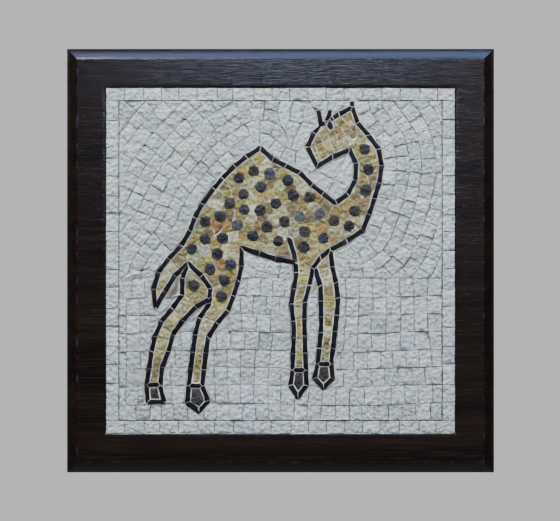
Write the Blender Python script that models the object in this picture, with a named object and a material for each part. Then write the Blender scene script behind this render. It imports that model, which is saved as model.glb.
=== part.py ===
"""Mosaic panel: a square picture of small split stones, let into a dark wooden board.

The board stands upright with its front towards -Y; its back lies on y = 0 and the
origin is at the middle of the back. X runs to the right, Z up. Lengths are in
millimetres here and become metres when the meshes are made.

The stones are laid out the way a mosaicist works: rows of black stones draw the
animal, a border is laid along the board, round spots are set into the coat, and the
coat and the white ground are filled with stones that follow the nearest rows. The
layout is made on a fine raster, traced as polygons and raised into solids. Stones of
one kind are one solid, joined in the bed of the joints between them.
"""
import math

import bmesh
import bpy
import numpy as np

MM = 0.001

# Board
MOSAIC_W = 200.0        # inside the board, left to right
MOSAIC_H = 198.0        # inside the board, bottom to top
RAIL = 22.5             # width of the board around the mosaic
BOARD_T = 18.0          # thickness of the board
CHAMFER = 6.0           # width of the rounded chamfer around the front
CHAMFER_STEPS = 3
RECESS = 6.0            # depth of the recess that holds the mosaic

# Hanging slot, cut into the back of the top rail
SLOT_W = 8.0
SLOT_H = 14.0
SLOT_DEPTH = 7.0

# Mosaic, from the recess floor to the stone tops
GAP = 0.3               # between any two solids
BED = 1.9               # thickness of the setting bed
JOINT_DEPTH = 1.1       # depth of the joints between stones
JOINT_SLOPE = 0.2       # how far a stone's side leans in over that depth

# Stones
BORDER = 7.4            # width of the border row
BORDER_STONE = 10.8     # length of a border stone
ROW = 3.2               # width of the black rows
ROW_STONE = 9.4         # length of a black stone
GROUND_STONE = (8.2, 7.6)   # length along its row and width of the row
LOW_STONE = (7.6, 10.4)     # the same in the lower part of the ground
LOW_WAVE = 0.8              # rise and fall of the rows there
HEAD_STONE = (4.4, 3.2)     # the same in the head
COAT_STONE = (6.0, 6.0)
SPOT = 6.4              # across a spot
SPOT_PITCH = 9.0        # least distance between spots
SPOT_MARGIN = 0.9       # least distance of a spot from a black row
SPOT_SIDES = 7

# Layout
RASTER = 0.25           # side of a raster cell
STRAIGHT = 0.35         # a traced line may leave the raster's edge by this much
SHORTEST = 1.3          # shorter edges are closed up
LEAST = 1.25            # a loose bit of a border or black stone under this many mm2 is no stone
COAT_STEPS = 16         # steps in which the stones of the coat settle
SEED = 7

# The drawing, for a field FIELD wide and high: each stroke is a smooth row of black
# stones through a few points (x, z) from the middle of the field.
FIELD = (185.2, 183.2)
STROKES = {
    "rump": [(-57, 8.5), (-51.5, 18), (-47.5, 28), (-41, 37.5), (-31, 49.5), (-22, 57.5), (-11.5, 64.5)],
    "withers": [(-11.5, 64.5), (-3, 57), (5, 53.5), (12, 49.5), (20, 41.5), (31.5, 33)],
    "throat": [(31.5, 33), (38, 37.5), (42, 44), (43.5, 52), (42.5, 58), (39.5, 63.5)],
    "jaw": [(39.5, 63.5), (31, 60), (21, 54)],
    "muzzle": [(21, 54), (17.5, 58), (15.5, 65)],
    "face": [(15.5, 65), (18.5, 72), (23, 77), (31, 82.3), (41, 88)],
    "near_ear": [(23.2, 76.8), (21.8, 85)],
    "far_ear": [(26.5, 80), (28.2, 85)],
    "crest": [(41, 88), (41, 93)],
    "nape": [(41, 88), (43, 81.5), (47, 74.5), (53.5, 68.5), (57.3, 60), (57.5, 50), (55, 40),
             (51.5, 29), (47, 17.5)],
    "chest": [(47, 17.5), (38, 11.5), (28.5, 6)],
    "brisket": [(28.5, 6), (23, 2), (18.5, -4.5)],
    "eye": [(27.5, 79.5), (28.8, 76.3)],
    "shoulder": [(5, 12.5), (8, 2.5)],
    "belly": [(-22.5, 7.5), (-12, 4), (-2, 1), (9, -1)],
    "near_fore_front": [(8, 2.5), (9, -6), (8, -15), (6.2, -24), (6.8, -32), (8, -38), (7.2, -50),
                        (7, -62.5)],
    "near_fore_back": [(18.5, -4.5), (18.3, -9), (15.5, -17), (13.7, -26), (13.8, -38), (14.3, -50),
                       (14.3, -62.5)],
    "near_fore_fetlock": [(7, -62.5), (14.3, -62.5)],
    "near_fore_foot": [(7, -62.5), (5.6, -71), (10, -78), (15, -71), (14.3, -62.5)],
    "far_fore_front": [(20, -5.5), (22.5, -13), (23.2, -24), (23.4, -36), (22.3, -48), (21.2, -59)],
    "far_fore_back": [(28.5, 6), (30, -5), (32.5, -17), (32.8, -26), (31.5, -36), (30.5, -47),
                      (28.8, -59)],
    "far_fore_fetlock": [(21.2, -59), (28.8, -59)],
    "far_fore_foot": [(21.2, -59), (19.5, -68.5), (25, -72.5), (29.8, -68.5), (28.8, -59)],
    "near_hind_front": [(-22.5, 7.5), (-22.5, -4), (-26, -17), (-31, -30), (-38, -38), (-42, -46),
                        (-43.2, -58), (-44.8, -71.5)],
    "near_hind_back": [(-53, -1.5), (-46, -8), (-40.5, -15), (-40, -23), (-46, -32), (-48.5, -41),
                       (-50.8, -56), (-52.4, -71.5)],
    "near_hind_fetlock": [(-52.4, -71.5), (-44.8, -71.5)],
    "near_hind_foot": [(-52.4, -71.5), (-53.2, -81.5), (-49, -86), (-41.2, -83.5), (-44.8, -71.5)],
    "far_hind_front": [(-40.3, -21.5), (-49, -27), (-56.5, -35), (-62.5, -44), (-64.2, -51.5),
                       (-67.5, -60), (-69, -71)],
    "far_hind_back": [(-53, -1.5), (-56, -9), (-55.8, -18), (-61, -26), (-67.5, -34), (-72.3, -45),
                      (-74.5, -58), (-76.6, -71)],
    "far_hind_fetlock": [(-76.6, -71), (-69, -71)],
    "far_hind_foot": [(-76.6, -71), (-77.3, -79), (-72, -83), (-66, -79.5), (-69, -71)],
    "tail_back": [(-57, 8.5), (-64, 1), (-69.5, -6), (-72.5, -15), (-71.5, -26.5)],
    "tail_front": [(-53, -1.5), (-58, -5.5), (-63.3, -13), (-71.5, -26.5)],
}
# A point inside each closed part of the drawing
COATS = {"coat_body": (0, 30), "coat_far_fore_leg": (27.5, -20), "coat_far_hind_leg": (-50, -18)}
HOOVES = {"hoof_near_fore": (10.3, -69), "hoof_far_fore": (24.8, -65.5),
          "hoof_near_hind": (-48.3, -79), "hoof_far_hind": (-72.2, -76.5)}
GROUND = (-85, 85)
HEAD = (28, 71, 16)     # middle and radius of the part of the coat without spots
HEAD_TILT = 29          # slope of the rows of stones in the head, in degrees
LOW_GROUND = -10        # height below which the ground has the low stones

BORDER_ID, GROUND_ID, ROW_ID = 1, 2, 3


# Layout on the raster

class Raster:
    """Small cells over the mosaic: rows run up (Z), columns to the right (X)."""

    def __init__(self, rows, columns):
        self.shape = (rows, columns)
        self.step = np.array([MOSAIC_W / self.shape[1], MOSAIC_H / self.shape[0]])
        self.x = (np.arange(self.shape[1]) + 0.5) * self.step[0] - MOSAIC_W / 2
        self.z = (np.arange(self.shape[0]) + 0.5) * self.step[1] - MOSAIC_H / 2
        self.grid = np.meshgrid(self.x, self.z)

    def window(self, low, high):
        """Rows and columns between two corners."""
        return (slice(*np.searchsorted(self.z, (low[1], high[1]))),
                slice(*np.searchsorted(self.x, (low[0], high[0]))))

    def cell(self, point):
        """Row and column of the cell that holds a point."""
        column, row = ((np.asarray(point) + (MOSAIC_W / 2, MOSAIC_H / 2)) / self.step).astype(int)
        return min(max(row, 0), self.shape[0] - 1), min(max(column, 0), self.shape[1] - 1)


def stone_ends(points):
    """Ends of the stones of a row: a Catmull-Rom curve through the points, cut evenly."""
    p = np.array(points, float)
    p = np.vstack([2 * p[0] - p[1], p, 2 * p[-1] - p[-2]])
    t = np.linspace(0, 1, 20, endpoint=False)[:, None]
    curve = np.vstack([0.5 * (2 * b + (c - a) * t + (2 * a - 5 * b + 4 * c - d) * t ** 2
                              + (3 * b - a - 3 * c + d) * t ** 3)
                       for a, b, c, d in zip(p[:-3], p[1:-2], p[2:-1], p[3:])] + [p[-2:-1]])
    run = np.append(0, np.cumsum(np.hypot(*np.diff(curve, axis=0).T)))
    at = np.linspace(0, run[-1], max(1, round(run[-1] / ROW_STONE)) + 1)
    return np.column_stack([np.interp(at, run, curve[:, k]) for k in (0, 1)])


def lay_rows(raster, strokes):
    """Number of the black stone in each cell: the nearest one, within half a row's width."""
    reach = np.full(raster.shape, ROW / 2)
    stone = np.zeros(raster.shape, int)
    number = 0
    for ends in strokes:
        for a, b in zip(ends[:-1], ends[1:]):
            number += 1
            win = raster.window(np.minimum(a, b) - ROW / 2, np.maximum(a, b) + ROW / 2)
            x, z = raster.grid[0][win] - a[0], raster.grid[1][win] - a[1]
            along = np.clip((x * (b - a)[0] + z * (b - a)[1]) / ((b - a) @ (b - a)), 0, 1)
            away = np.hypot(x - along * (b - a)[0], z - along * (b - a)[1])
            near = away < reach[win]
            reach[win][near] = away[near]
            stone[win][near] = number
    return stone


def lay_border(raster, rng):
    """Number of the border stone in each cell: two full rows, and two columns between them."""
    x, z = raster.grid
    stone = np.zeros(raster.shape, int)
    for side, (across, along, span, length) in enumerate((
            (z, x, MOSAIC_H, MOSAIC_W), (-z, x, MOSAIC_H, MOSAIC_W),
            (x, z, MOSAIC_W, MOSAIC_H - 2 * BORDER), (-x, z, MOSAIC_W, MOSAIC_H - 2 * BORDER))):
        count = max(3, round(length / BORDER_STONE))
        cuts = (np.arange(1, count) / count - 0.5) * length
        cuts += rng.uniform(-0.08, 0.08, count - 1) * BORDER_STONE
        here = (across > span / 2 - BORDER) & (np.abs(along) < length / 2) & (stone == 0)
        stone[here] = 1000 * (side + 1) + np.searchsorted(cuts, along[here])
    return stone


def parts_of(labels):
    """Number every part of equal label that hangs together side by side."""
    start = np.ones(labels.shape, bool)
    start[:, 1:] = labels[:, 1:] != labels[:, :-1]
    run = np.cumsum(start).reshape(labels.shape) - 1
    same = labels[1:] == labels[:-1]
    pairs = np.unique(np.column_stack([run[:-1][same], run[1:][same]]), axis=0)
    root = list(range(run[-1, -1] + 1))

    def top(k):
        while root[k] != k:
            root[k] = root[root[k]]
            k = root[k]
        return k

    for a, b in pairs.tolist():
        a, b = top(a), top(b)
        root[max(a, b)] = min(a, b)
    roots = np.array([top(k) for k in range(len(root))])
    return np.unique(roots, return_inverse=True)[1][run]


def adopt(owner, area):
    """Cells of the area without an owner take the one beside them, ring by ring."""
    owner, area = np.pad(owner, 1), np.pad(area, 1)
    left = -1
    while left != (left := np.count_nonzero(area & (owner == 0))):
        for axis, step in ((0, 1), (0, -1), (1, 1), (1, -1)):
            beside = np.roll(owner, step, axis)
            take = area & (owner == 0) & (beside > 0)
            owner[take] = beside[take]
    return owner[1:-1, 1:-1]


def keep_whole(owner, area, least):
    """Each stone keeps its largest part; loose cells and slivers go to their neighbours."""
    part = parts_of(owner)
    size = np.bincount(part.ravel())
    whose = np.zeros(size.size, int)
    whose[part.ravel()] = owner.ravel()
    largest = {whose[k]: k for k in np.argsort(size)}
    keep = np.zeros(size.size, bool)
    keep[[k for stone, k in largest.items() if stone and size[k] >= least]] = True
    return adopt(np.where(keep[part], owner, 0), area)


def close_corners(labels):
    """No label may touch itself only at a corner: the cell beside the corner joins it."""
    while True:
        a, b, c, d = labels[:-1, :-1], labels[:-1, 1:], labels[1:, :-1], labels[1:, 1:]
        rising = (a == d) & (a != b) & (a != c)
        falling = (b == c) & (b != a) & (b != d) & ~rising
        if not rising.any() and not falling.any():
            return labels
        labels = labels.copy()
        labels[:-1, 1:][rising] = labels[1:, 1:][rising]
        labels[:-1, :-1][falling] = labels[1:, :-1][falling]


def directions(points, lines):
    """Direction of the lines near each point, as a square sees it: a quarter of the angle
    of the sum of e^(4 i angle) over the lines, weighted by 1 / distance^3."""
    at, angle = lines
    gap = np.hypot(points[:, None, 0] - at[:, 0], points[:, None, 1] - at[:, 1])
    return np.angle(np.sum(np.exp(4j * angle) / (gap + 1.5) ** 3, axis=1)) / 4


def share(raster, area, seeds, turns, sizes, power):
    """Number of the seed that owns each cell: the least |u/a|^p + |v/b|^p, where u and v
    are the cell's place in axes turned with the seed. A high power gives square stones."""
    best = np.full(raster.shape, np.inf)
    owner = np.zeros(raster.shape, int)
    for number, (seed, turn, size) in enumerate(zip(seeds, turns, sizes), 1):
        win = raster.window(seed - 1.25 * size.max(), seed + 1.25 * size.max())
        x, z = raster.grid[0][win] - seed[0], raster.grid[1][win] - seed[1]
        u = np.abs(math.cos(turn) * x + math.sin(turn) * z) / size[0]
        v = np.abs(math.cos(turn) * z - math.sin(turn) * x) / size[1]
        far = u ** power + v ** power
        near = (far < best[win]) & area[win]
        best[win][near] = far[near]
        owner[win][near] = number
    return owner


def distance_to(raster, area, lines):
    """Distance of each cell of an area from the black rows."""
    points = np.column_stack([g[area] for g in raster.grid])
    parts = np.array_split(points, 1 + len(points) // 5000)
    return np.concatenate([np.hypot(p[:, None, 0] - lines[0][:, 0], p[:, None, 1] - lines[0][:, 1])
                           .min(axis=1) for p in parts]) - ROW / 2


def lay_in_rows(raster, area, height, size, vary, rng):
    """Lay an area with stones in rows. A row takes the cells between two heights, where the
    height may be any measure. Down its middle each stone starts where the one before it
    ends, and the cells of the row go to the nearest stone."""
    points = np.column_stack([g[area] for g in raster.grid])
    owner = np.zeros(len(points), int)
    low = height.min()
    while low < height.max():
        high = low + size[1] * rng.uniform(1 - vary / 2, 1 + vary / 2)
        row = (height >= low) & (height <= high) & (owner == 0)
        left = points[np.abs(height - (low + high) / 2) < raster.step.max() / 2]
        stones, stone = [], left[:1]
        while len(left):
            stones.append(stone)
            length = size[0] * rng.uniform(1 - vary, 1 + vary)
            gap = np.hypot(*(left - stone).T)
            left, gap = left[gap > length], gap[gap > length]
            stone = left[np.argmin(gap)][None] if len(left) else left
        if stones:
            gap = np.hypot(*(points[row][:, None] - np.concatenate(stones)).transpose(2, 0, 1))
            owner[row] = owner.max() + 1 + np.argmin(gap, axis=1)
        low = high
    stone = np.zeros(raster.shape, int)
    stone[area] = owner
    return keep_whole(stone, area, 0.3 * np.prod(size) / raster.step.prod())


def fill(coarse, fine, area, size, lines, power, wander, steps, rng):
    """Fill an area with stones.

    Seeds start on an even lattice and move to the middle of their stones, step after step. A
    stone much too large gets a second seed at its far end, a sliver loses its own, and a
    bare place gets a new one.
    """
    half = area[::2, ::2]
    x, z = coarse.grid
    lattice = [(np.arange(n) + 0.5) * side / n - side / 2
               for side, n in ((MOSAIC_W, round(MOSAIC_W / size[0])), (MOSAIC_H, round(MOSAIC_H / size[1])))]
    seeds = np.stack(np.meshgrid(*lattice), axis=-1).reshape(-1, 2)
    seeds = seeds[[half[coarse.cell(s)] for s in seeds]]
    sizes = size * rng.uniform(0.86, 1.14, (len(seeds), 2))
    shake = rng.normal(0, wander, len(seeds))
    for turn in range(steps):
        owner = share(coarse, half, seeds, directions(seeds, lines) + shake, sizes, power).ravel()
        count = np.bincount(owner, minlength=len(seeds) + 1)
        middle = np.column_stack([np.bincount(owner, g.ravel(), len(seeds) + 1)
                                  / np.maximum(count, 1) for g in (x, z)])
        full = sizes.prod(axis=1) / coarse.step.prod()
        extra, like = [], []
        if turn < steps - 4:
            for k in np.flatnonzero(count[1:] > 1.75 * full):
                cells = np.flatnonzero(owner == k + 1)
                gap = np.hypot(x.ravel()[cells] - seeds[k, 0], z.ravel()[cells] - seeds[k, 1])
                extra.append(cells[np.argmax(gap)])
                like.append(sizes[k])
            bare = np.flatnonzero(half.ravel() & (owner == 0))
            if len(bare):
                extra.append(bare[len(bare) // 2])
                like.append(size)
        alive = count[1:] > 0.3 * full
        seeds = np.vstack([middle[1:][alive], np.column_stack([x.ravel()[extra], z.ravel()[extra]])])
        sizes = np.vstack([sizes[alive], np.reshape(like, (-1, 2))])
        shake = np.append(shake[alive], np.zeros(len(extra)))
    owner = share(fine, area, seeds, directions(seeds, lines) + shake, sizes, power)
    return keep_whole(owner, area, 0.3 * np.prod(size) / fine.step.prod())


def place_spots(raster, coat, rng, fit):
    """Middles of the spots: tried in random order, kept where there is room."""
    x, z = raster.grid
    edge = np.argwhere(coat[1:-1, 1:-1] & ~(coat[:-2, 1:-1] & coat[2:, 1:-1] & coat[1:-1, :-2]
                                            & coat[1:-1, 2:])) + 1
    edge = np.column_stack([raster.x[edge[:, 1]], raster.z[edge[:, 0]]])
    free = coat & (np.hypot(x - HEAD[0] * fit, z - HEAD[1] * fit) > HEAD[2] * fit)
    tries = np.column_stack([x[free], z[free]])
    rng.shuffle(tries)
    room = SPOT / 2 + SPOT_MARGIN
    spots = []
    while len(tries):
        point, tries = tries[0], tries[1:]
        if np.hypot(*(edge - point).T).min() > room:
            spots.append(point)
            tries = tries[np.hypot(*(tries - point).T) > SPOT_PITCH]
    return spots


def lay_out():
    """Lay out the whole mosaic: (raster, group of each cell, stone of each cell, group names)."""
    rng = np.random.default_rng(SEED)
    rows, columns = round(MOSAIC_H / RASTER / 2), round(MOSAIC_W / RASTER / 2)
    fine, coarse = Raster(2 * rows, 2 * columns), Raster(rows, columns)
    x, z = fine.grid
    field = np.array([MOSAIC_W, MOSAIC_H]) - 2 * BORDER
    fit = min(field / FIELD)
    strokes = [stone_ends(np.array(points) * fit) for points in STROKES.values()]

    border = lay_border(fine, rng)
    black = np.where(border > 0, 0, lay_rows(fine, strokes))
    group = np.where(border > 0, BORDER_ID, np.where(black > 0, ROW_ID, 0))
    names = {BORDER_ID: "border_tesserae", GROUND_ID: "ground_tesserae", ROW_ID: "outline_tesserae"}
    part = parts_of(group)
    group[part == part[fine.cell(np.array(GROUND) * fit)]] = GROUND_ID
    for name, place in {**COATS, **HOOVES}.items():
        number = len(names) + 1
        names[number] = name
        group[part == part[fine.cell(np.array(place) * fit)]] = number
    group = close_corners(adopt(group, group == 0))
    coats = [number for number, name in names.items() if name in COATS]

    coat = np.isin(group, coats)
    shape_angles = np.arange(SPOT_SIDES) * 2 * math.pi / SPOT_SIDES
    for k, (cx, cz) in enumerate(place_spots(coarse, coat[::2, ::2], rng, fit), 1):
        angles = shape_angles + rng.uniform(0, 2 * math.pi) + rng.uniform(-0.15, 0.15, SPOT_SIDES)
        reach = SPOT / 2 * rng.uniform(0.93, 1.03) * math.cos(math.pi / SPOT_SIDES)
        number = len(names) + 1
        names[number] = f"spot_{k:02d}"
        inside = np.all([(x - cx) * math.cos(a) + (z - cz) * math.sin(a) < reach for a in angles], axis=0)
        group[inside & coat] = number
    group = close_corners(group)

    lines = []
    for ends in strokes:
        for a, b in zip(ends[:-1], ends[1:]):
            for t in (0.1, 0.3, 0.5, 0.7, 0.9):
                lines.append((*(a + t * (b - a)), math.atan2(b[1] - a[1], b[0] - a[0])))
    lines = (np.array(lines)[:, :2], np.array(lines)[:, 2])

    stone = np.where(group == BORDER_ID, border, 0) + np.where(group == ROW_ID, black, 0)
    low = (group == GROUND_ID) & (z < LOW_GROUND * fit)
    high = (group == GROUND_ID) & ~low
    head = np.isin(group, coats) & (np.hypot(x - HEAD[0] * fit, z - HEAD[1] * fit) < HEAD[2] * fit)
    tilt = math.radians(HEAD_TILT)
    stone += lay_in_rows(fine, low, (z + LOW_WAVE * np.sin(x / LOW_STONE[1] / 2))[low], LOW_STONE, 0.12, rng)
    stone += 1000 * lay_in_rows(fine, high, distance_to(fine, high, lines), GROUND_STONE, 0.2, rng)
    stone += 1000 * lay_in_rows(fine, head, (z * math.cos(tilt) - x * math.sin(tilt))[head], HEAD_STONE,
                                0.2, rng)
    for number in coats:
        stone += fill(coarse, fine, (group == number) & ~head, COAT_STONE, lines, 3, 0.2, COAT_STEPS, rng)
    single = group > len(COATS) + ROW_ID
    stone[single] = 1
    for number in (BORDER_ID, ROW_ID):
        kept = keep_whole(np.where(group == number, stone, 0), group == number,
                          LEAST / fine.step.prod())
        stone = np.where(group == number, kept, stone)
    return fine, group, stone, names


# From the raster to polygons

def loops(labels):
    """Loops around each label as lists of lattice points (row, column), the label on the left."""
    width = labels.shape[1] + 1
    found = []
    r, c = np.nonzero(labels[:, :-1] != labels[:, 1:])
    low, high = r * width + c + 1, (r + 1) * width + c + 1
    found += [(labels[r, c], low, high), (labels[r, c + 1], high, low)]
    r, c = np.nonzero(labels[:-1] != labels[1:])
    left, right = (r + 1) * width + c, (r + 1) * width + c + 1
    found += [(labels[r, c], right, left), (labels[r + 1, c], left, right)]
    whose, start, end = (np.concatenate([f[k] for f in found]).tolist() for k in range(3))
    following = {(w, s): e for w, s, e in zip(whose, start, end) if w}
    result = {}
    while following:
        (label, first), point = following.popitem()
        loop = [first]
        while point != first:
            loop.append(point)
            point = following.pop((label, point))
        result.setdefault(label, []).append(loop)
    return result


def junctions(labels):
    """Lattice points where three or more labels meet."""
    four = np.sort([labels[:-1, :-1], labels[:-1, 1:], labels[1:, :-1], labels[1:, 1:]], axis=0)
    r, c = np.nonzero(np.count_nonzero(np.diff(four, axis=0), axis=0) > 1)
    return set(((r + 1) * (labels.shape[1] + 1) + c + 1).tolist())


def straighten(points, tolerance):
    """Indices of the points that keep a line within the tolerance (Douglas-Peucker)."""
    keep, todo = {0, len(points) - 1}, [(0, len(points) - 1)]
    while todo:
        i, j = todo.pop()
        if j - i < 2:
            continue
        chord, span = points[j] - points[i], points[i + 1:j] - points[i]
        away = np.abs(chord[0] * span[:, 1] - chord[1] * span[:, 0]) / max(np.hypot(*chord), 1e-9)
        k = i + 1 + int(np.argmax(away))
        if away[k - i - 1] > tolerance:
            keep.add(k)
            todo += [(i, k), (k, j)]
    return sorted(keep)


def chains(loop, anchors, place):
    """Cut a loop at its anchors. A loop with fewer than two is cut at its lowest point and
    at the point farthest from that. Every chain runs from its lower end, so that the labels
    on both sides see the same chain."""
    ends = [k for k, point in enumerate(loop) if point in anchors]
    if len(ends) < 2:
        first = ends[0] if ends else loop.index(min(loop))
        gaps = np.hypot(*(np.array([place[p] for p in loop]) - place[loop[first]]).T)
        far = max(range(len(loop)), key=lambda k: (round(gaps[k], 6), -loop[k]))
        ends = sorted((first, far))
    for i, j in zip(ends, ends[1:] + [ends[0] + len(loop)]):
        chain = [loop[k % len(loop)] for k in range(i, j + 1)]
        yield chain if chain[0] < chain[-1] else chain[::-1]


def trace_groups(raster, group):
    """Straightened outlines of the groups, shared by the groups on both sides.

    Returns where each lattice point of these outlines now lies, and the corners.
    """
    labels = np.pad(group, 1)
    width = labels.shape[1] + 1

    def lattice(point):
        row, column = divmod(point, width)
        return np.array([(column - 1) * raster.step[0] - MOSAIC_W / 2,
                         (row - 1) * raster.step[1] - MOSAIC_H / 2])

    corners = junctions(labels)
    place = {}
    for around in loops(labels).values():
        for loop in around:
            spot = {point: lattice(point) for point in loop}
            for chain in chains(loop, corners, spot):
                if chain[1] in place and chain[-2] in place:
                    continue
                points = np.array([spot[point] for point in chain])
                kept = straighten(points, STRAIGHT)
                corners.update(chain[k] for k in kept)
                for i, j in zip(kept[:-1], kept[1:]):
                    line = points[j] - points[i]
                    along = (points[i:j + 1] - points[i]) @ line / max(line @ line, 1e-9)
                    for k, t in zip(range(i, j + 1), np.clip(along, 0, 1)):
                        place[chain[k]] = points[i] + t * line
    return place, corners, lattice


def trace_stones(stones, place, corners, lattice):
    """Polygons of the stones of one group, as corner numbers and corner places.

    Corners on the outline of the group lie on its straightened line. Edges shorter than
    SHORTEST are closed up; the corners of the outline itself stay where they are.
    """
    labels = np.pad(stones, 1)
    meet = junctions(labels)
    spot, polygons, rank = {}, [], {}
    for stone, around in loops(labels).items():
        for loop in around:
            for point in loop:
                spot[point] = place[point] if point in place else lattice(point)
            anchors = {p for p in loop if p in meet or p in corners}
            kept = set(anchors)
            for chain in chains(loop, anchors, spot):
                if len(chain) > 2 and chain[1] not in place:
                    points = np.array([spot[point] for point in chain])
                    kept.update(chain[k] for k in straighten(points, 1.5 * STRAIGHT))
            polygons.append((stone, [p for p in loop if p in kept]))
            for p in kept:
                rank[p] = 2 if p in corners else 1 if p in place else 0

    root = {p: p for p in rank}

    def top(p):
        while root[p] != p:
            p = root[p]
        return p

    edges = sorted((float(np.hypot(*(spot[a] - spot[b]))), a, b)
                   for _, polygon in polygons for a, b in zip(polygon, polygon[1:] + polygon[:1]))
    for _, a, b in edges:
        a, b = top(a), top(b)
        if a == b or min(rank[a], rank[b]) == 2 or np.hypot(*(spot[a] - spot[b])) > SHORTEST:
            continue
        if rank[a] < rank[b]:
            a, b = b, a
        if rank[a] == rank[b]:
            spot[a] = (spot[a] + spot[b]) / 2
        root[b] = a
    closed = []
    for stone, polygon in polygons:
        ring = [top(p) for p in polygon]
        ring = [p for k, p in enumerate(ring) if p != ring[k - 1]]
        if len(set(ring)) > 2:
            closed.append((stone, ring))
    return closed, spot


def peak(points):
    """The point that sees the whole polygon from as deep inside as can be, or None."""
    points = np.asarray(points)
    side = np.roll(points, -1, axis=0) - points
    inward = np.column_stack([-side[:, 1], side[:, 0]]) / np.hypot(*side.T)[:, None]
    axes = [np.linspace(low, high, 24) for low, high in zip(points.min(axis=0), points.max(axis=0))]
    tries = np.stack(np.meshgrid(*axes), axis=-1).reshape(-1, 2)
    depth = np.min((tries @ inward.T) - np.sum(points * inward, axis=1), axis=1)
    return tries[np.argmax(depth)] if depth.max() > 0.1 else None


def halve(raster, stones, which):
    """Cut stones in two across their length, at the middle; what falls apart is a stone too."""
    stones = stones.copy()
    for stone in which:
        r, c = np.nonzero(stones == stone)
        at = np.column_stack([raster.x[c], raster.z[r]])
        at -= at.mean(axis=0)
        long_way = np.linalg.eigh(at.T @ at)[1][:, -1]
        far = at @ long_way > 0
        stones[r[far], c[far]] = stones.max() + 1
    parts = np.where(stones > 0, parts_of(stones) + 1, 0)
    return keep_whole(parts, stones > 0, 2.0 / raster.step.prod())


def stones_of(raster, stones, outlines):
    """Polygons of the stones of one group. A stone hollow enough to need it is halved."""
    for _ in range(4):
        polygons, spot = trace_stones(stones, *outlines)
        hollow = [stone for stone, ring in polygons if peak([spot[p] for p in ring]) is None]
        if not hollow:
            break
        stones = halve(raster, stones, hollow)
    return [ring for _, ring in polygons], spot


# Solids

def material(name, colour, roughness):
    """Plain coloured material."""
    made = bpy.data.materials.new(name)
    made.use_nodes = True
    shader = made.node_tree.nodes["Principled BSDF"]
    shader.inputs["Base Color"].default_value = (*colour, 1.0)
    shader.inputs["Roughness"].default_value = roughness
    made.diffuse_color = (*colour, 1.0)
    return made


def add_object(name, mesh, collection, colour=None, roughness=0.6, height=0.0):
    """Put a mesh made in millimetres into a collection, in metres, `height` above the origin."""
    bmesh.ops.scale(mesh, vec=(MM, MM, MM), verts=mesh.verts)
    data = bpy.data.meshes.new(name)
    mesh.to_mesh(data)
    mesh.free()
    if colour:
        data.materials.append(material(name, colour, roughness))
    made = bpy.data.objects.new(name, data)
    made.location.z = height * MM
    collection.objects.link(made)
    return made


def box_mesh(width, height, low, high):
    """Upright box between two depths in front of the back of the board."""
    mesh = bmesh.new()
    bmesh.ops.create_cube(mesh, size=1.0)
    bmesh.ops.scale(mesh, vec=(width, high - low, height), verts=mesh.verts)
    bmesh.ops.translate(mesh, vec=(0, -(low + high) / 2, 0), verts=mesh.verts)
    return mesh


def board_mesh():
    """Solid board, its front edges rounded between a flat chamfer and a quarter round."""
    mesh = box_mesh(MOSAIC_W + 2 * RAIL, MOSAIC_H + 2 * RAIL, 0, BOARD_T)
    front = [e for e in mesh.edges if all(v.co.y < -BOARD_T / 2 for v in e.verts)]
    bmesh.ops.bevel(mesh, geom=front, offset=CHAMFER, segments=CHAMFER_STEPS, profile=0.36,
                    affect="EDGES")
    return mesh


def slot_mesh():
    """Upright slot with rounded ends, running out through the back of the board."""
    mesh = box_mesh(SLOT_W, SLOT_H, -1, SLOT_DEPTH)
    upright = [e for e in mesh.edges if e.verts[0].co.y * e.verts[1].co.y < 0]
    bmesh.ops.bevel(mesh, geom=upright, offset=0.45 * SLOT_W, segments=4, profile=0.5, affect="EDGES")
    return mesh


def cut_out(board, name, mesh, collection, height=0.0):
    """Cut a shape out of the board."""
    cutter = add_object(name + "_cutter", mesh, collection, height=height)
    cutter.hide_render = True
    cutter.display_type = "WIRE"
    cut = board.modifiers.new(name, "BOOLEAN")
    cut.operation, cut.solver, cut.object = "DIFFERENCE", "EXACT", cutter


def stone_mesh(polygons, spot, back, top, flat):
    """Fused stones: each one raised from the bed of the joints, all on one flat back.

    The outline is drawn in by half the gap, and the tops by the slope of the joints.
    """
    mesh = bmesh.new()
    verts = {p: mesh.verts.new((spot[p][0], -back, spot[p][1]))
             for p in sorted({p for ring in polygons for p in ring})}
    for ring in polygons:
        mesh.faces.new([verts[p] for p in ring])
    mesh.normal_update()
    rim = bmesh.ops.inset_region(mesh, faces=mesh.faces, thickness=GAP / 2,
                                 use_boundary=True, use_even_offset=True)["faces"]
    bmesh.ops.delete(mesh, geom=rim, context="FACES")
    behind = mesh.faces[:]
    raised = bmesh.ops.extrude_face_region(mesh, geom=behind, use_keep_orig=True)["geom"]
    stones = [g for g in raised if isinstance(g, bmesh.types.BMFace)]
    for stone in stones:
        for vert in stone.verts:
            vert.co.y = JOINT_DEPTH - top
    mesh.normal_update()
    if flat:
        bmesh.ops.inset_individual(mesh, faces=stones, thickness=JOINT_SLOPE, depth=JOINT_DEPTH,
                                   use_even_offset=True)
    else:
        for stone in stones:
            summit = peak([(v.co.x, v.co.z) for v in stone.verts])
            if summit is not None:
                made = bmesh.ops.poke(mesh, faces=[stone])["verts"][0]
                made.co = (summit[0], -top, summit[1])
    bmesh.ops.dissolve_limit(mesh, angle_limit=0.001,
                             verts=list(dict.fromkeys(v for f in behind for v in f.verts)),
                             edges=list(dict.fromkeys(e for f in behind for e in f.edges)))
    bmesh.ops.recalc_face_normals(mesh, faces=mesh.faces)
    return mesh


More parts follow.
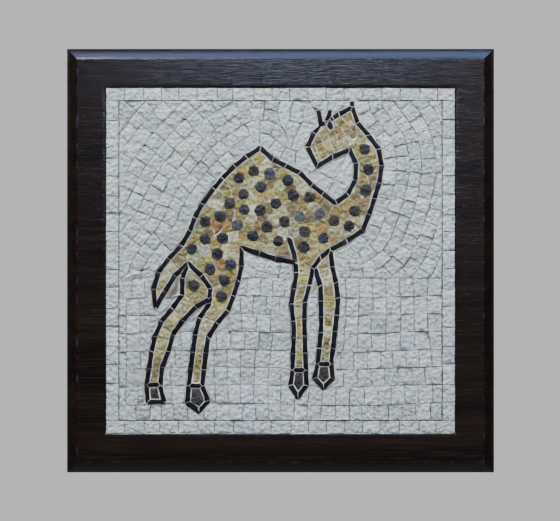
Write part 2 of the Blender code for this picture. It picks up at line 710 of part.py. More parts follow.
def main():
    for old in list(bpy.data.objects):
        bpy.data.objects.remove(old)
    panel = bpy.data.collections.new("mosaic_panel")
    cutters = bpy.data.collections.new("cutters")
    for made in (panel, cutters):
        bpy.context.scene.collection.children.link(made)

    board = add_object("board", board_mesh(), panel, (0.035, 0.02, 0.016), 0.35)
    cut_out(board, "recess", box_mesh(MOSAIC_W + GAP, MOSAIC_H + GAP, BOARD_T - RECESS, BOARD_T + 1),
            cutters)
    cut_out(board, "hanging_slot", slot_mesh(), cutters, (MOSAIC_H + RAIL) / 2)

    floor = BOARD_T - RECESS + GAP
    add_object("setting_bed", box_mesh(MOSAIC_W - GAP, MOSAIC_H - GAP, floor, floor + BED), panel,
               (0.62, 0.6, 0.56), 0.9)

    raster, group, stone, names = lay_out()
    outlines = trace_groups(raster, group)
    colours = {"border": (0.42, 0.46, 0.48), "ground": (0.45, 0.49, 0.5), "outline": (0.012, 0.012, 0.015),
               "coat": (0.42, 0.31, 0.14), "hoof": (0.06, 0.05, 0.045), "spot": (0.05, 0.05, 0.06)}
    for number, name in names.items():
        kind = name.split("_")[0]
        polygons, spot = stones_of(raster, np.where(group == number, stone, 0), outlines)
        mesh = stone_mesh(polygons, spot, floor + BED + GAP, BOARD_T, kind == "outline")
        add_object(name, mesh, panel, colours[kind], 0.8)


main()
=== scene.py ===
# %% [markdown]
# # A mosaic panel of split stones
# The panel is a square picture of small stones, let into a dark wooden board. Its sizes and the place
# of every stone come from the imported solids. This script dresses them: it reads the outline of each
# stone, works out a rough split stone over it, pours the mortar between the stones, turns the board's
# profile round the picture, and gives everything the finish of the real thing. Lengths are in
# millimetres until a mesh is made, and depths are counted from the wall towards the viewer.

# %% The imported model
import math

import bpy
import numpy as np
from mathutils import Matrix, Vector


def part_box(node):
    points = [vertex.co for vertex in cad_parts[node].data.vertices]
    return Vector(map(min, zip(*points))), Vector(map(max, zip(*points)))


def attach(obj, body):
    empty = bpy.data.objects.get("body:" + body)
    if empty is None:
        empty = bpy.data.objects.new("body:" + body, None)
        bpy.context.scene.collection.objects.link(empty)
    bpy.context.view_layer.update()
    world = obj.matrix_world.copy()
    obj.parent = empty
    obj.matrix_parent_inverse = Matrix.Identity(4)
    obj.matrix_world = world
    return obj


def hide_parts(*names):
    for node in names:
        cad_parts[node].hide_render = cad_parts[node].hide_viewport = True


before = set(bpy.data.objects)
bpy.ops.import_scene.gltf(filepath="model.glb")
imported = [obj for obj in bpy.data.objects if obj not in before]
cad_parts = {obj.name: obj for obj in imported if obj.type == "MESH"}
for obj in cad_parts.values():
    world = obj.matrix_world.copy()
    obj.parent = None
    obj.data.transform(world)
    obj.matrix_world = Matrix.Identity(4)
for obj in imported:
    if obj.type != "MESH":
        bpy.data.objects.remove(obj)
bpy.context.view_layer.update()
rng = np.random.default_rng(11)
print("packed nodes:", len(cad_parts))

# %% [markdown]
# ## Reading the stones
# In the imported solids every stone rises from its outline, in the bed of the joints, to one peak or to
# a flat top. All triangles that touch the same top are one stone. A few very small stones have no top:
# they lie flat at the level of the joints, and flat triangles that share a point are one stone. The
# corners of a stone are the points that its triangles have at the level of the joints, put in order by
# their angle around the middle.

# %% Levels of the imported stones
def node_size(name):
    """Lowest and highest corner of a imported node, in mm."""
    low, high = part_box(name)
    return np.array(low) * 1000, np.array(high) * 1000


board_low, board_high = node_size("board")
bed_low, bed_high = node_size("setting_bed")
FACE = -board_low[1]       # depth of the board's face and of the stone tops
JOINT = 1.1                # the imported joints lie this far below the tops
NEAR = 0.05                # a point this close to a level lies on it
BED = bed_high - bed_low   # width, thickness and height of the setting bed
print("board", board_high - board_low, "setting bed", BED, "face", FACE)


# %% Outlines of the stones
def flood(triangles, inside, count):
    """Label of each triangle: the lowest number among the points that it can reach through
    points that are inside."""
    label = np.arange(count)
    while True:
        low = np.where(inside[triangles], label[triangles], count).min(axis=1)
        spread = label.copy()
        np.minimum.at(spread, triangles[inside[triangles]],
                      np.broadcast_to(low[:, None], triangles.shape)[inside[triangles]])
        if np.array_equal(spread, label):
            return low
        label = spread


def read_stones(name):
    """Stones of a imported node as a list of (middle, corners), seen from the front (x, z)."""
    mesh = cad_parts[name].data
    places = np.empty(3 * len(mesh.vertices), np.float32)
    mesh.vertices.foreach_get("co", places)
    triangles = np.empty(3 * len(mesh.polygons), int)
    mesh.polygons.foreach_get("vertices", triangles)
    points, index = np.unique(np.round(places.reshape(-1, 3) * 1000.0, 3), axis=0, return_inverse=True)
    triangles = index.ravel()[triangles].reshape(-1, 3)
    top = points[:, 1] < NEAR - FACE
    joint = np.abs(points[:, 1] - JOINT + FACE) < NEAR
    raised, flat = top[triangles].any(axis=1), joint[triangles].all(axis=1)
    stones = []
    for chosen, inside in ((raised, top), (flat, joint)):
        mine = triangles[chosen]
        labels = flood(mine, inside, len(points))
        for label in np.unique(labels):
            own = np.unique(mine[labels == label])
            corners = points[own[joint[own]]][:, ::2]
            middle = points[own[inside[own]]][:, ::2].mean(axis=0)
            turn = np.arctan2(*(corners - middle).T[::-1])
            stones.append((middle, corners[np.argsort(turn)]))
    return stones


print("stones in the ground:", len(read_stones("ground_tesserae")))

# %% [markdown]
# ## One split stone
# A tessera is knocked off a rod with a hammer, so its face is a rough fracture with a few facets, its
# rim is chipped, and no two stones lie at quite the same height or slant. One stone is a grid: around
# its outline it has sixteen points, and from the mortar up to its middle it has four rings and one
# point. Everything random is added to whole arrays, one number or one vector for each stone or point.
# The grid is kept this coarse because the panel has hundreds of stones; grit finer than a millimetre
# is left to the bump of the material.

# %% Rings of a stone
AROUND = 16                # points of a ring
FOOT = FACE - 2.9          # the stones stand this deep in the mortar
WITHIN = 1.6               # random heights and slants stay within this many deviations
SMALLEST = 0.3             # a point of the outline counts as at least this far from the middle
DEEPEST_CHIP = 0.6         # a chip takes at most this share of the way to the middle


def ring_along(corners):
    """AROUND points spaced evenly along a closed outline; the one nearest to each corner sits on it."""
    closed = np.vstack([corners, corners[:1]])
    run = np.append(0, np.cumsum(np.hypot(*np.diff(closed, axis=0).T)))
    at = np.arange(AROUND) * run[-1] / AROUND
    at[np.round(run[:-1] / run[-1] * AROUND).astype(int) % AROUND] = run[:-1]
    return np.column_stack([np.interp(at, run, closed[:, k]) for k in (0, 1)])


def stone_points(stones, joint, ragged, arris, level, uneven, slant, relief, crown):
    """Points of all stones as an array (stone, ring * around + middle, xyz).

    A ring is the outline drawn in towards the middle: by the joint (below zero, the stone reaches past
    its packed outline), by a random part of `ragged` for each point, and at the rim by the width of
    the arris too. A random part is half a point's own and half its neighbours', so that the rim gets
    dents and no spikes. The depth of a ring is the level of the stone, plus its slant times the way
    from the middle, plus a random relief for each point. The middle is raised by the crown.
    """
    count = len(stones)
    middle = np.array([m for m, _ in stones])[:, None]
    outline = np.array([ring_along(c) for _, c in stones]) - middle
    length = np.maximum(np.hypot(outline[..., 0], outline[..., 1]), SMALLEST)[..., None]
    tilt = slant * rng.normal(0, 1, (count, 1, 2)).clip(-WITHIN, WITHIN)
    height = level + uneven * rng.normal(0, 1, (count, 1)).clip(-WITHIN, WITHIN)
    chip = rng.uniform(0, 1, (count, AROUND, 1))
    chip = chip / 2 + (np.roll(chip, 1, axis=1) + np.roll(chip, -1, axis=1)) / 4
    shapes = [(joint, 1.0, None, 0.0),             # the foot in the mortar
              (joint, 1.0, arris, 0.5),            # the shoulder
              (joint + arris, 1.0, 0.0, 0.8),      # the rim
              (joint, 0.55, -crown, 1.0)]          # about half way to the middle
    rings = []
    for inset, share, drop, rough in shapes:
        drawn = np.minimum(inset + ragged * chip * (rough > 0), DEEPEST_CHIP * length)
        flat = outline * (1 - drawn / length) * share
        depth = height + np.sum(tilt * flat, axis=2) + rng.normal(0, relief * rough, (count, AROUND))
        depth = np.full_like(depth, FOOT) if drop is None else depth - drop
        rings.append(np.dstack([flat[..., 0], -depth, flat[..., 1]]))
    top = height + 1.15 * crown + rng.normal(0, relief, (count, 1))
    rings.append(np.dstack([np.zeros((count, 1)), -top, np.zeros((count, 1))]))
    points = np.concatenate(rings, axis=1)
    points[..., ::2] += middle
    return points


def stone_faces(count, rings=4):
    """Faces of all stones: quads between neighbouring rings, triangles to the middle, one flat foot."""
    k = np.arange(AROUND)
    after = (k + 1) % AROUND
    quads = np.concatenate([np.stack([r * AROUND + k, r * AROUND + after,
                                      (r + 1) * AROUND + after, (r + 1) * AROUND + k], axis=1)
                            for r in range(rings - 1)])
    last = (rings - 1) * AROUND
    tips = np.stack([last + k, last + after, np.full(AROUND, rings * AROUND)], axis=1)
    step = (rings * AROUND + 1) * np.arange(count)[:, None, None]
    return [(quads + step).reshape(-1, 4), (tips + step).reshape(-1, 3),
            (k[::-1][None, None] + step).reshape(-1, AROUND)]


# %% Putting a surface into Blender
def add_piece(name, points, faces, values=None, sharp=35):
    """Mesh object from points in mm and arrays of faces. Values become attributes of the points, and
    edges sharper than an angle in degrees stay crisp."""
    mesh = bpy.data.meshes.new(name)
    mesh.from_pydata((points.reshape(-1, 3) / 1000).tolist(), [],
                     [face for group in faces for face in group.tolist()])
    for key, value in (values or {}).items():
        kind, field = ("FLOAT_COLOR", "color") if value.shape[-1] == 4 else ("FLOAT", "value")
        mesh.attributes.new(key, kind, "POINT").data.foreach_set(field, value.ravel())
    mesh.validate()
    mesh.polygons.foreach_set("use_smooth", np.ones(len(mesh.polygons), bool))
    mesh.set_sharp_from_angle(angle=math.radians(sharp))
    piece = bpy.data.objects.new(name, mesh)
    bpy.context.scene.collection.objects.link(piece)
    print(f"{name}: {len(mesh.polygons)} faces")
    return piece


# %% Colours
def linear(code):
    """Linear RGB of an sRGB hex colour."""
    s = np.array([int(code[k:k + 2], 16) for k in (1, 3, 5)]) / 255
    return np.where(s <= 0.04045, s / 12.92, ((s + 0.055) / 1.055) ** 2.4)


def stone_colours(count, palette, spread):
    """One colour for each stone: picked from the palette, made a little lighter or darker by the
    spread, and a fifth as much more red, green or blue."""
    colours = np.array([linear(code) for code in palette])
    picked = colours[rng.integers(0, len(colours), count)]
    picked = picked * np.exp(rng.normal(0, spread, (count, 1)) + rng.normal(0, spread / 5, (count, 3)))
    return np.column_stack([np.clip(picked, 0, 1), np.ones(count)])


# %% [markdown]
# ## Laying the stones
# Each kind of stone gets its own piece. White limestone makes the ground and the border, black
# basalt bars draw the animal, yellow and brown limestone fill its coat, and round slates are its
# spots. The kinds differ in how wide their joints are, how much their rims are chipped and how
# unevenly they lie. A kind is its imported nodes, its slot, its colours, how far they vary, and the
# form of its stones. Besides its colour, each point carries two values for the material: how much
# dust gathers there, and a number that moves the clouds, so that no two stones look the same.

# %% The kinds of stone
WHITE = ["#cad3cf", "#c7d0cc", "#ced5d1", "#c5cdca", "#cad2cb", "#ced0ca", "#cdd2cc", "#c9d2d1"]
BLACK = ["#09090d", "#060609", "#0c0c12"]
COAT = ["#9d935c", "#958a4d", "#b1b085", "#9f9862", "#82784b", "#aba87c", "#997b44", "#7c714d",
        "#989869", "#a59a54", "#b4b797", "#817c56", "#91824d", "#aaa571", "#8a7d50", "#a4a47e"]
BROWN = ["#2a2622", "#241f1f", "#2f2b24"]
SLATE = ["#212127", "#1a1a20", "#272629", "#2c2926", "#21202e", "#282222", "#1d1d21", "#494a4c"]
coats = ["coat_body", "coat_far_fore_leg", "coat_far_hind_leg"]
hooves = ["hoof_near_fore", "hoof_far_fore", "hoof_near_hind", "hoof_far_hind"]
spots = sorted(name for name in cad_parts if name.startswith("spot_"))
kinds = {
    "border_stones": (["border_tesserae"], "white_stone", WHITE, 0.06, dict(
        joint=0.0, ragged=0.48, arris=0.18, level=FACE - 0.3, uneven=0.24, slant=0.035, relief=0.2,
        crown=0.15)),
    "ground_stones": (["ground_tesserae"], "white_stone", WHITE, 0.07, dict(
        joint=-0.05, ragged=0.55, arris=0.18, level=FACE - 0.35, uneven=0.31, slant=0.065, relief=0.22,
        crown=0.2)),
    "outline_stones": (["outline_tesserae"], "black_stone", BLACK, 0.15, dict(
        joint=0.13, ragged=0.16, arris=0.1, level=FACE - 0.08, uneven=0.08, slant=0.015, relief=0.06,
        crown=0.06)),
    "coat_stones": (coats, "ochre_stone", COAT, 0.2, dict(
        joint=0.1, ragged=0.24, arris=0.14, level=FACE - 0.15, uneven=0.14, slant=0.04, relief=0.16,
        crown=0.1)),
    "hoof_stones": (hooves, "brown_stone", BROWN, 0.1, dict(
        joint=0.02, ragged=0.4, arris=0.2, level=FACE - 0.15, uneven=0.1, slant=0.03, relief=0.12,
        crown=0.15)),
    "spot_stones": (spots, "slate", SLATE, 0.2, dict(
        joint=-0.78, ragged=0.8, arris=0.16, level=FACE + 0.12, uneven=0.08, slant=0.04, relief=0.17,
        crown=0.2)),
}

# %% Laying them
pieces = {}
laid = {}
for name, (nodes, slot, palette, spread, form) in kinds.items():
    stones = [stone for node in nodes for stone in read_stones(node)]
    points = stone_points(stones, **form)
    per_stone = points.shape[1]
    edge = np.append(np.repeat([0, 1, 0.7, 0], AROUND), 0)      # ring by ring, and the middle
    values = {"colour": np.repeat(stone_colours(len(stones), palette, spread), per_stone, axis=0),
              "edge": np.tile(edge.astype(float), len(stones))[:, None],
              "shift": np.repeat(rng.uniform(0, 1, len(stones)), per_stone)[:, None]}
    piece = add_piece(name, points, stone_faces(len(stones)), values)
    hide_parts(*nodes)
    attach(piece, "root")
    pieces[name] = piece
    laid[name] = stones
print({name: len(stones) for name, stones in laid.items()})

# %% [markdown]
# ## The mortar
# The stones are set in a light mortar. Between the black bars it comes up almost to the tops and
# shows as cream lines. In the coat it lies a little lower and is tinted by the stones. In the white
# ground the stones touch and the mortar stays deep; its colour there is dirty and also darkened with
# painted shade, so their joints are dark. The mortar is one slab whose front is a height over a grid
# of points. Two masks, 1 near the coloured stones or the bars and 0 elsewhere, lift it from the deep
# level to the high ones. They come from marking the cells of the grid that outline points fall in,
# and blurring the marks.

# %% Masks over the mortar's grid
CELL = 1.0                    # spacing of the mortar's grid
MORTAR_DEEP = FACE - 2.0      # in the white ground
MORTAR_COAT = FACE - 0.5      # between the stones of the coat
MORTAR_BARS = FACE - 0.42     # between the black bars
PLAY = 0.3                    # between the setting bed and the recess
MORTAR_TO_BOARD = 0.12        # between the mortar and the wall of the recess
half = np.array([BED[0], BED[2]]) / 2 + PLAY - MORTAR_TO_BOARD
columns, rows = (int(round(2 * h / CELL)) for h in half)
across = np.linspace(-half[0], half[0], columns + 1)
up = np.linspace(-half[1], half[1], rows + 1)


def blurred(field, times):
    """Each cell becomes the mean of itself and its four neighbours, a number of times."""
    for _ in range(times):
        p = np.pad(field, 1, mode="edge")
        field = (p[1:-1, 1:-1] + p[:-2, 1:-1] + p[2:, 1:-1] + p[1:-1, :-2] + p[1:-1, 2:]) / 5
    return field


def mask_of(names):
    """1 in the cells of the grid that hold a point of one of these stones, on its outline, in its
    middle or between them, and 0 in the others, and then blurred."""
    field = np.zeros((rows + 1, columns + 1))
    for name in names:
        for middle, corners in laid[name]:
            ring = ring_along(corners)
            for share in (0.0, 0.35, 0.7, 1.0):
                x, z = (middle + share * (ring - middle)).T
                field[np.searchsorted(up, z).clip(0, rows), np.searchsorted(across, x).clip(0, columns)] = 1
    return blurred(field, 2)


coloured = mask_of(["coat_stones", "hoof_stones", "spot_stones", "outline_stones"])
bars = mask_of(["outline_stones"])
print("share of the mortar between coloured stones:", coloured.mean().round(2))

# %% Height and colour of the mortar
# A mask times more than 1 holds its full height further out into its blurred edge.
SILL = 1.6                 # the mortar rises over this width along the bottom edge, where it was wiped
x, z = np.meshgrid(across, up)
sill = np.clip((z + half[1]) / -SILL + 1, 0, 1)
lift = np.clip(np.maximum(coloured * 1.3, sill), 0, 1)
height = MORTAR_DEEP + (MORTAR_COAT - MORTAR_DEEP) * lift
height = np.maximum(height, MORTAR_DEEP + (MORTAR_BARS - MORTAR_DEEP) * np.clip(bars * 1.8, 0, 1))
height += blurred(rng.normal(0, 0.14, x.shape), 1)
# The colour of the deep mortar in the white ground is dirty and darkened with painted shade, so the joints
# show dark.
deep_dirt_and_shade, tan, cream = (np.append(linear(code), 1) for code in ("#5f5b53", "#d0c3aa", "#d1ccc0"))
tint = deep_dirt_and_shade + (tan - deep_dirt_and_shade) * lift[..., None]
tint += (cream - tint) * np.clip(np.maximum(bars * 2.2, sill), 0, 1)[..., None]
print("mortar below the face, in mm:", (FACE - height).min().round(2), "to", (FACE - height).max().round(2))

# %% The mortar slab
front = np.dstack([x, -height, z]).reshape(-1, 3)
number = np.arange(x.size).reshape(x.shape)
quads = np.stack([number[:-1, :-1], number[:-1, 1:], number[1:, 1:], number[1:, :-1]], axis=-1)
margin = np.concatenate([number[0, :-1], number[:-1, -1], number[-1, :0:-1], number[:0:-1, 0]])
back = front[margin] * [1, 0, 1] - [0, -bed_high[1], 0]
behind = x.size + np.arange(margin.size)
sides = np.stack([behind, np.roll(behind, -1), np.roll(margin, -1), margin], axis=1)
colours = np.concatenate([tint.reshape(-1, 4), np.repeat(tint[:1, 0], margin.size, axis=0)])
mortar = add_piece("mortar", np.concatenate([front, back]),
                   [quads.reshape(-1, 4), sides, behind[None, ::-1]], {"colour": colours})
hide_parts("setting_bed")
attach(mortar, "root")

# %% [markdown]
# ## The board
# The board is one piece of wood: its grain runs from left to right on all four sides. The recess is
# milled into it, and a convex chamfer runs round its front. Its whole surface is one grid. One way,
# it goes round the square; the other way, it follows the cross-section, from the floor of the
# recess over the face and the chamfer to the back, and on into the hanging slot. Each point of the
# cross-section is an inset from the outer edge and a depth, so the corners come out mitred.

# %% Cross-section
WIDTH, THICK, HEIGHT = board_high - board_low
RAIL = (WIDTH - BED[0]) / 2 - PLAY         # from the outer edge to the wall of the recess
RECESS_FLOOR = -bed_high[1] - PLAY
CHAMFER = 6.0
BULGE = 26                                 # the chamfer turns this many degrees
ARRIS = 0.45                               # radius of the other edges
WORN_AND_HIGHLIT = 0.1                                 # square of the width along the edge of the face that is painted paler: rubbed wear and a painted highlight


def arc(centre, radius, start, end, steps):
    """Points of a circular arc, angles in degrees."""
    turn = np.radians(np.linspace(start, end, steps))
    return np.column_stack([centre[0] + radius * np.cos(turn), centre[1] + radius * np.sin(turn)])


# The chamfer is an arc over a chord at 45 degrees. Points close to an edge keep the flats flat.
radius = CHAMFER * math.sqrt(2) / 2 / math.sin(math.radians(BULGE / 2))
away = radius * math.cos(math.radians(BULGE / 2)) / math.sqrt(2)
chamfer = arc((CHAMFER / 2 + away, THICK - CHAMFER / 2 - away), radius,
              135 - BULGE / 2, 135 + BULGE / 2, 11)
section = np.concatenate([
    [(RAIL, RECESS_FLOOR), (RAIL, RECESS_FLOOR + 0.3), (RAIL, THICK - 2 * ARRIS)],
    arc((RAIL - ARRIS, THICK - ARRIS), ARRIS, 0, 90, 5),
    [(RAIL - 2, THICK), (CHAMFER + 4, THICK), (CHAMFER + 0.8, THICK), (CHAMFER + 0.25, THICK)],
    chamfer[1:-1],
    [(0, THICK - CHAMFER - 0.25), (0, THICK - CHAMFER - 0.8), (0, 6), (0, 2 * ARRIS)],
    arc((ARRIS, ARRIS), ARRIS, 180, 270, 5)])
# Along the edge of the face the stain is painted paler: partly rubbed wear, partly a painted highlight of the
# lit edge.
worn_and_highlit = np.exp(-((section[:, 0] - CHAMFER) ** 2 + (section[:, 1] - THICK) ** 2) / WORN_AND_HIGHLIT)
print("points of the cross-section:", len(section))

# %% Rings round the board
SIDE = 28                  # points along each side of a ring
run = np.linspace(-1, 1, SIDE, endpoint=False)
one = np.ones(SIDE)
square = np.concatenate([np.column_stack([run, -one]), np.column_stack([one, run]),
                         np.column_stack([-run, one]), np.column_stack([-one, -run])])
outer = np.array([WIDTH, HEIGHT]) / 2
rings = [np.column_stack([square[:, 0] * (outer[0] - inset), np.full(4 * SIDE, -depth),
                          square[:, 1] * (outer[1] - inset)]) for inset, depth in section]
print("rings along the cross-section:", len(rings))

# %% Rings of the hanging slot
# The slot has half circles at its ends. Towards its side, a ray from its middle meets the straight
# wall; further up or down it meets the half circle.
SLOT = np.array([4.0, 7.0, 7.0])           # half width, half height and depth
SLOT_Z = (HEIGHT / 2 + BED[2] / 2 + PLAY / 2) / 2
to_slot = rings[-1][:, ::2] - [0, SLOT_Z]
turn = to_slot / np.hypot(*to_slot.T)[:, None]
c, s = np.abs(turn).T                      # sideways and upright part of each ray
straight = SLOT[1] - SLOT[0]
to_wall = SLOT[0] / np.maximum(c, 1e-6)
to_end = straight * s + np.sqrt((straight * s) ** 2 + SLOT[0] ** 2 - straight ** 2)
reach = np.where(to_wall * s <= straight, to_wall, to_end)


def slot_ring(grow, depth):
    """Ring around the slot: its outline, as seen from its middle, made larger by `grow`."""
    flat = turn * (reach + grow)[:, None]
    return np.column_stack([flat[:, 0], np.full(len(flat), -depth), flat[:, 1] + SLOT_Z])


mouth = slot_ring(0.25, 0)
for share in (0.25, 0.6, 0.85):            # across the back, from the edge to the slot
    rings.append(rings[len(section) - 1] * (1 - share) + mouth * share)
rings += [mouth, slot_ring(0.08, 0.08), slot_ring(0, 0.25), slot_ring(0, SLOT[2])]
print("rings with the back and the slot:", len(rings))

# %% The board's surface
WAVE = 0.03                # the planed wood rises and falls by this, all but its flat back
surface = np.array(rings)
planed = np.arange(len(rings)) < len(section) - 3
surface[:, :, 1] += WAVE * np.sin(surface[:, :, 0] / 17 + 1) * np.sin(surface[:, :, 2] / 23) * planed[:, None]
number = np.arange(surface.shape[0] * surface.shape[1]).reshape(surface.shape[:2])
following = np.roll(number, -1, axis=1)
quads = np.stack([number[:-1], following[:-1], following[1:], number[1:]], axis=-1).reshape(-1, 4)
# The points carry the paler edge, rubbed wear and painted highlight, to the material.
wear_and_highlight = np.append(worn_and_highlit, np.zeros(len(rings) - len(section)))
board = add_piece("stained_board", surface, [quads[:, ::-1], number[:1], number[-1:, ::-1]],
                  {"wear_and_highlight": np.repeat(wear_and_highlight, 4 * SIDE)[:, None]}, sharp=18)
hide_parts("board")
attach(board, "root")

# %% [markdown]
# ## Finishes
# Every material starts from the real one. The colour of each stone is already stored in its points,
# so the stone materials only add what a single stone shows: cloudy mottling, patches and grit.
# Sizes of patterns are given in millimetres and turned into the scale of the noise.


# %% Adding a node
def node(tree, kind, links=None, **settings):
    """Add a node. Links go to its inputs by name or number; a link to a plain value sets it."""
    made = tree.nodes.new(kind)
    for key, value in settings.items():
        setattr(made, key, value)
    for key, value in (links or {}).items():
        if isinstance(value, bpy.types.NodeSocket):
            tree.links.new(value, made.inputs[key])
        else:
            made.inputs[key].default_value = value
    return made


def new_material(name):
    """Material with a Principled shader: the material, its tree, its shader and Object coordinates."""
    made = bpy.data.materials.new(name)
    made.use_nodes = True
    tree = made.node_tree
    place = node(tree, "ShaderNodeTexCoord").outputs["Object"]
    return made, tree, tree.nodes["Principled BSDF"], place


def per_mm(size):
    """Scale of a noise whose features are about `size` mm across."""
    return 1000.0 / size


def stored(tree, name, output="Fac"):
    """Value or colour that the points of a piece carry under this name."""
    return node(tree, "ShaderNodeAttribute", attribute_name=name).outputs[output]


def blend(tree, share, first, code):
    """The first colour, and a share of the sRGB hex colour over it."""
    mixed = node(tree, "ShaderNodeMix", {0: share, 6: first, 7: (*linear(code), 1)}, data_type="RGBA")
    return mixed.outputs[2]


def wear_it(piece, material):
    """The piece wears this material alone."""
    piece.data.materials.clear()
    piece.data.materials.append(material)


# %% Split stone
def split_stone(name, mottle, contrast, grit, grit_depth, roughness, shine, vein, vein_share, dust,
                dust_share):
    """Fractured stone: its own colour, made lighter and darker by the contrast in clouds `mottle` mm
    across, a share of a second colour in patches, dust on its rim, and grit `grit` mm across."""
    stone, tree, shader, place = new_material(name)
    shift = stored(tree, "shift")
    cloud = node(tree, "ShaderNodeTexNoise", {"Vector": place, "W": shift, "Scale": per_mm(mottle),
                                              "Detail": 5.0, "Roughness": 0.65}, noise_dimensions="4D")
    tone = node(tree, "ShaderNodeMapRange", {"Value": cloud.outputs["Fac"], "From Min": 0.3,
                                             "From Max": 0.7, "To Min": 1 - contrast,
                                             "To Max": 1 + contrast})
    toned = node(tree, "ShaderNodeVectorMath", {0: stored(tree, "colour", "Color"),
                                                "Scale": tone.outputs["Result"]}, operation="SCALE")
    patch = node(tree, "ShaderNodeTexNoise", {"Vector": place, "W": shift, "Scale": per_mm(1.4 * mottle),
                                              "Detail": 3.0}, noise_dimensions="4D")
    where = node(tree, "ShaderNodeMapRange", {"Value": patch.outputs["Fac"], "From Min": 0.52,
                                              "From Max": 0.68, "To Max": vein_share})
    veined = blend(tree, where.outputs["Result"], toned.outputs["Vector"], vein)
    rim = node(tree, "ShaderNodeMath", {0: stored(tree, "edge"), 1: dust_share}, operation="MULTIPLY")
    tree.links.new(blend(tree, rim.outputs[0], veined, dust), shader.inputs["Base Color"])
    fine = node(tree, "ShaderNodeTexNoise", {"Vector": place, "Scale": per_mm(grit), "Detail": 4.0,
                                             "Roughness": 0.7})
    coarse = node(tree, "ShaderNodeTexVoronoi", {"Vector": place, "Scale": per_mm(2.2 * grit)})
    both = node(tree, "ShaderNodeMath", {0: fine.outputs["Fac"], 1: coarse.outputs["Distance"]},
                operation="ADD")
    bump = node(tree, "ShaderNodeBump", {"Height": both.outputs[0], "Distance": grit_depth / 1000,
                                         "Strength": 1.0})
    tree.links.new(bump.outputs["Normal"], shader.inputs["Normal"])
    shader.inputs["Roughness"].default_value = roughness
    shader.inputs["Specular IOR Level"].default_value = shine
    return stone


# White limestone, split: matt and chalky, with faint grey clouds
limestone = split_stone("split white limestone", mottle=1.8, contrast=0.26, grit=1.15, grit_depth=1.5,
                        roughness=0.88, shine=0.5, vein="#b4b9b4", vein_share=0.2, dust="#d5d8d6",
                        dust_share=0.2)
# Black basalt, sawn into bars and split: dense, nearly black, with hardly any shine
basalt = split_stone("split black basalt", mottle=2.0, contrast=0.3, grit=1.4, grit_depth=0.2,
                     roughness=0.45, shine=0.16, vein="#1d1e24", vein_share=0.3, dust="#5a5a5e",
                     dust_share=0.04)
# Yellow limestone, split: warm and cloudy, some stones stained with rust
yellow = split_stone("split yellow limestone", mottle=1.3, contrast=0.5, grit=1.3, grit_depth=1.5,
                     roughness=0.78, shine=0.35, vein="#9a7440", vein_share=0.5, dust="#bfb9a6",
                     dust_share=0.2)
# Slate, split: dark, with a soft grey bloom where it broke
slate = split_stone("split slate", mottle=1.6, contrast=0.4, grit=1.2, grit_depth=0.8,
                    roughness=0.5, shine=0.3, vein="#4a4c50", vein_share=0.35, dust="#8c8a84",
                    dust_share=0.08)
finishes = {"border_stones": limestone, "ground_stones": limestone, "outline_stones": basalt,
            "coat_stones": yellow, "hoof_stones": slate, "spot_stones": slate}
for name, finish in finishes.items():
    wear_it(pieces[name], finish)
print("stone materials:", sorted({finish.name for finish in finishes.values()}))

# %% Mortar
# Lime mortar, pressed in and wiped: matt and sandy, so the joints look soft beside the stones.
lime, tree, shader, place = new_material("lime mortar")
sand = node(tree, "ShaderNodeTexNoise", {"Vector": place, "Scale": per_mm(0.7), "Detail": 3.0})
sandy = node(tree, "ShaderNodeMapRange", {"Value": sand.outputs["Fac"], "To Min": 0.75, "To Max": 1.15})
toned = node(tree, "ShaderNodeVectorMath", {0: stored(tree, "colour", "Color"),
                                            "Scale": sandy.outputs["Result"]}, operation="SCALE")
tree.links.new(toned.outputs["Vector"], shader.inputs["Base Color"])
bump = node(tree, "ShaderNodeBump", {"Height": sand.outputs["Fac"], "Distance": 0.0002})
tree.links.new(bump.outputs["Normal"], shader.inputs["Normal"])
shader.inputs["Roughness"].default_value = 0.95
wear_it(mortar, lime)
print("mortar:", lime.name)

# %% Stained wood
# Wood under a dark stain and a satin lacquer: brown streaks show through along the grain, the pores
# break up the highlights, and along the edge of the chamfer the stain is painted paler in places,
# partly as rubbed wear and partly as a painted highlight of the lit edge.
wood, tree, shader, place = new_material("stained and lacquered wood")
along = node(tree, "ShaderNodeMapping", {"Vector": place, "Scale": (0.045, 1.0, 1.0)}).outputs["Vector"]
broad = node(tree, "ShaderNodeTexNoise", {"Vector": along, "Scale": per_mm(9.0), "Detail": 3.0,
                                          "Distortion": 0.6})
cloud = node(tree, "ShaderNodeMapRange", {"Value": broad.outputs["Fac"], "From Min": 0.32,
                                          "From Max": 0.72})
stain = blend(tree, cloud.outputs["Result"], (*linear("#0f0b09"), 1), "#1f1712")
grain = node(tree, "ShaderNodeTexNoise", {"Vector": along, "Scale": per_mm(1.3), "Detail": 6.0,
                                          "Roughness": 0.62})
streak = node(tree, "ShaderNodeMapRange", {"Value": grain.outputs["Fac"], "From Min": 0.5,
                                           "From Max": 0.75, "To Max": 0.45})
streaked = blend(tree, streak.outputs["Result"], stain, "#3d2a1e")
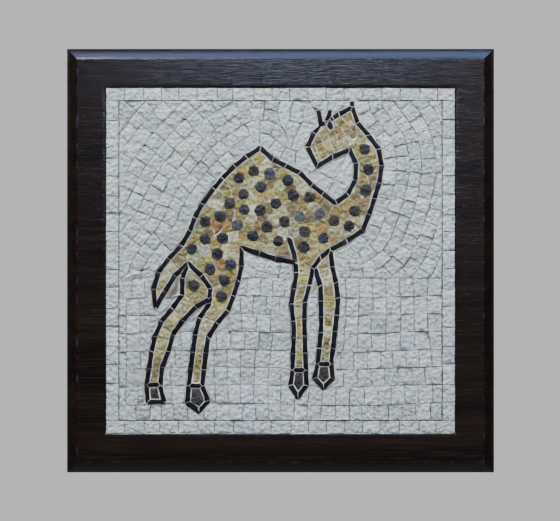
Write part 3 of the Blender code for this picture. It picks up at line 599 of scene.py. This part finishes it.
# Along the edge of the face the stain turns paler in patches: rubbed wear and a painted highlight of the lit
# edge.
broken = node(tree, "ShaderNodeTexNoise", {"Vector": place, "Scale": per_mm(6.0), "Detail": 4.0})
rubbed_and_highlit = node(tree, "ShaderNodeMapRange", {"Value": broken.outputs["Fac"], "From Min": 0.5,
                                           "From Max": 0.75, "To Max": 0.5})
pale_and_highlit = node(tree, "ShaderNodeMath", {0: stored(tree, "wear_and_highlight"), 1: rubbed_and_highlit.outputs["Result"]},
            operation="MULTIPLY")
tree.links.new(blend(tree, pale_and_highlit.outputs[0], streaked, "#6f6870"), shader.inputs["Base Color"])
pores = node(tree, "ShaderNodeTexNoise", {"Vector": along, "Scale": per_mm(0.4), "Detail": 2.0})
bump = node(tree, "ShaderNodeBump", {"Height": pores.outputs["Fac"], "Distance": 0.00008})
tree.links.new(bump.outputs["Normal"], shader.inputs["Normal"])
shader.inputs["Roughness"].default_value = 0.21
shader.inputs["Specular IOR Level"].default_value = 0.4
wear_it(board, wood)
print("board:", wood.name)

# %% [markdown]
# ## Light and camera
# The panel hangs straight in front of the camera. The key light stands high above it and to the left:
# it grazes the stones and draws a thin shadow under each of them. A broad bluish light overhead shows
# in the upper chamfer. A small window above the camera puts a soft highlight on the upper rail, and a
# side window lights the right rail and fills the shadows. Two rear lights show the sides and the
# back of the board.

# %% Floor
FLOOR_Z = -3.2             # the panel hangs high above the floor
floor_mesh = bpy.data.meshes.new("floor")
floor_mesh.from_pydata([(-6, -6, FLOOR_Z), (6, -6, FLOOR_Z), (6, 6, FLOOR_Z), (-6, 6, FLOOR_Z)],
                       [], [(0, 1, 2, 3)])
floor = bpy.data.objects.new("floor", floor_mesh)
bpy.context.scene.collection.objects.link(floor)
pale_floor, _, shader, _ = new_material("pale floor")
shader.inputs["Base Color"].default_value = (*linear("#d9d6d1"), 1)
shader.inputs["Roughness"].default_value = 0.9
wear_it(floor, pale_floor)
print("floor at", FLOOR_Z, "m")

# %% World
# The room is pale behind the panel, where the camera looks, and dim in front of it.
world = bpy.data.worlds.new("studio")
world.use_nodes = True
tree = world.node_tree
way = node(tree, "ShaderNodeSeparateXYZ", {0: node(tree, "ShaderNodeTexCoord").outputs["Generated"]})
share = node(tree, "ShaderNodeMapRange", {"Value": way.outputs["Y"], "From Min": 0.5, "From Max": 0.93,
                                          "To Min": 0.06, "To Max": 0.75})
tree.links.new(share.outputs["Result"], tree.nodes["Background"].inputs["Strength"])
tree.nodes["Background"].inputs["Color"].default_value = (*linear("#eceef2"), 1)
bpy.context.scene.world = world
print("world:", world.name)


# %% Lights
def add_light(name, place, size, power, colour):
    """Square area light at a place, turned to the middle of the panel's back."""
    lamp = bpy.data.lights.new(name, "AREA")
    lamp.size, lamp.energy, lamp.color = size, power, linear(colour)
    light = bpy.data.objects.new(name, lamp)
    light.location = place
    x, y, z = place
    light.rotation_euler = (math.atan2(math.hypot(x, y), z), 0, math.atan2(-y, -x) - math.pi / 2)
    bpy.context.scene.collection.objects.link(light)
    return light


# Places and sizes are in metres, powers in watts.
lights = [add_light("key", (-0.45, -0.7, 1.2), 0.3, 36, "#f2f7f7"),
          add_light("overhead", (0.1, -0.22, 1.2), 0.8, 13, "#98b8ff"),
          add_light("window", (0.01, -0.9, 0.36), 0.14, 2.6, "#c3d4ff"),
          add_light("side_window", (0.55, -1.1, 0.45), 0.35, 9.5, "#ece9ee"),
          add_light("rear_left", (-1.2, 0.9, 0.7), 0.6, 18, "#f4f4f4"),
          add_light("rear_right", (1.2, 0.9, 0.7), 0.6, 18, "#f4f4f4")]
print("lights:", [light.name for light in lights])

# %% Camera
DISTANCE = 2.0             # metres from the lens to the front of the panel
PICTURE = 560              # width of the picture in pixels
MOSAIC = 349.1             # width of the mosaic in it
camera = bpy.data.cameras.new("camera")
camera.sensor_width = 36
picture_width = BED[0] / MOSAIC * PICTURE / 1000
camera.lens = camera.sensor_width * DISTANCE / picture_width
eye = bpy.data.objects.new("camera", camera)
eye.location = (-0.0003, -DISTANCE - FACE / 1000, 0.0001)      # the panel is a hair off the middle
eye.rotation_euler = (math.pi / 2, 0, 0)
bpy.context.scene.collection.objects.link(eye)
bpy.context.scene.camera = eye
print("focal length in mm:", round(camera.lens, 1))
